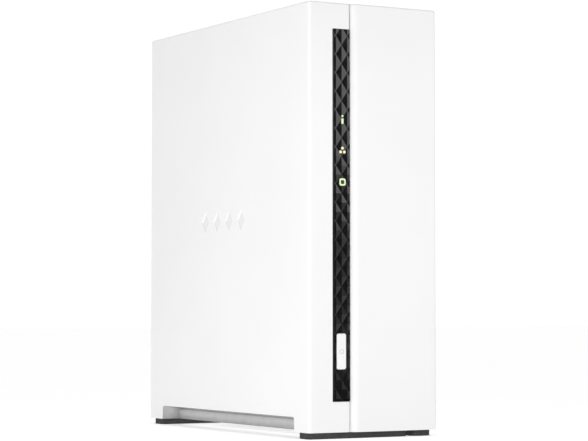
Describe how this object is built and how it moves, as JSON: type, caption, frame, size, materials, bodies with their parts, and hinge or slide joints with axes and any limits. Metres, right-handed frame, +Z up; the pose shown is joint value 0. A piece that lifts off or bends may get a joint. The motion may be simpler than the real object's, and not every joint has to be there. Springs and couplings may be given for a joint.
{
  "type": "network attached storage",
  "caption": "Slim upright white storage box: dark faceted front strip with lit symbols and power button, slide-off side cover, rear fan and ports, drive inside.",
  "frame": {"origin": "centre of the footprint on the surface it stands on", "axes": "+Z up, -Y out of the front with the indicators, +Y out of the rear with the ports, +X towards the removable side cover"},
  "size_m": [0.0646, 0.1562, 0.1886],
  "materials": {
    "white_plastic": "fine satin texture",
    "foot_rubber": "matt",
    "strip_plastic": "glossy faceted",
    "green_lens": "translucent, lit",
    "amber_lens": "translucent, lit",
    "circuit_board": "solder mask",
    "chip_plastic": "moulded",
    "cast_aluminium": "as cast",
    "plated_steel": "zinc plated",
    "fan_plastic": "moulded",
    "cable_plastic": "satin"
  },
  "bodies": {
    "chassis": {"main_shell": "white_plastic", "rear_panel": "white_plastic", "front_foot_main": "foot_rubber", "rear_foot_main": "foot_rubber", "front_strip": "strip_plastic", "status_lens": "green_lens", "network_lens": "amber_lens", "disk_lens": "green_lens", "indicator_board": "circuit_board", "power_switch": "chip_plastic", "mainboard": "circuit_board", "processor": "chip_plastic", "heat_sink": "cast_aluminium", "memory_chip": "chip_plastic", "power_inductor": "chip_plastic", "network_transformer": "chip_plastic", "usb_port_upper": "plated_steel", "usb_port_lower": "plated_steel", "ethernet_jack": "plated_steel", "dc_jack": "chip_plastic", "reset_switch": "chip_plastic", "battery_holder": "chip_plastic", "coin_cell": "plated_steel", "board_slot": "chip_plastic", "drive_riser": "circuit_board", "drive_bracket": "plated_steel", "drive_casting": "cast_aluminium", "drive_lid": "plated_steel", "drive_board": "circuit_board", "fan_frame": "fan_plastic", "fan_header": "cable_plastic", "fan_cable": "cable_plastic", "indicator_ribbon": "cable_plastic", "cover_screw_lower": "plated_steel", "cover_screw_upper": "plated_steel", "panel_screw_lower": "plated_steel", "panel_screw_upper": "plated_steel", "fan_screw_left_lower": "plated_steel", "fan_screw_right_lower": "plated_steel", "fan_screw_left_upper": "plated_steel", "fan_screw_right_upper": "plated_steel", "drive_screw_front_lower": "plated_steel", "drive_screw_back_lower": "plated_steel", "drive_screw_front_upper": "plated_steel", "drive_screw_back_upper": "plated_steel", "bracket_screw_front_lower": "plated_steel", "bracket_screw_back_lower": "plated_steel", "bracket_screw_front_upper": "plated_steel", "bracket_screw_back_upper": "plated_steel", "board_screw_front_lower": "plated_steel", "board_screw_front_upper": "plated_steel", "board_screw_back_lower": "plated_steel", "board_screw_back_upper": "plated_steel"},
    "cover": {"side_cover": "white_plastic", "front_foot_cover": "foot_rubber", "rear_foot_cover": "foot_rubber"},
    "power_key": {"power_button": "white_plastic", "power_switch_plunger": "chip_plastic"},
    "fan_wheel": {"fan_rotor": "fan_plastic"},
    "reset_key": {"reset_plunger": "chip_plastic"}
  },
  "joints": [
    {"name": "cover_slide", "type": "slide", "parent": "chassis", "child": "cover", "axis": [0, -1, 0], "range_m": [0, 0.16]},
    {"name": "power_key_press", "type": "slide", "parent": "chassis", "child": "power_key", "axis": [0, 1, 0], "range_m": [0, 0.0006], "stiffness_N_per_m": 800, "springref_m": -0.0008},
    {"name": "fan_spin", "type": "hinge", "parent": "chassis", "child": "fan_wheel", "pos_m": [0, 0.0676, 0.149], "axis": [0, 1, 0], "continuous": true},
    {"name": "reset_key_press", "type": "slide", "parent": "chassis", "child": "reset_key", "axis": [0, -1, 0], "range_m": [0, 0.0004], "stiffness_N_per_m": 600, "springref_m": -0.0006}
  ]
}
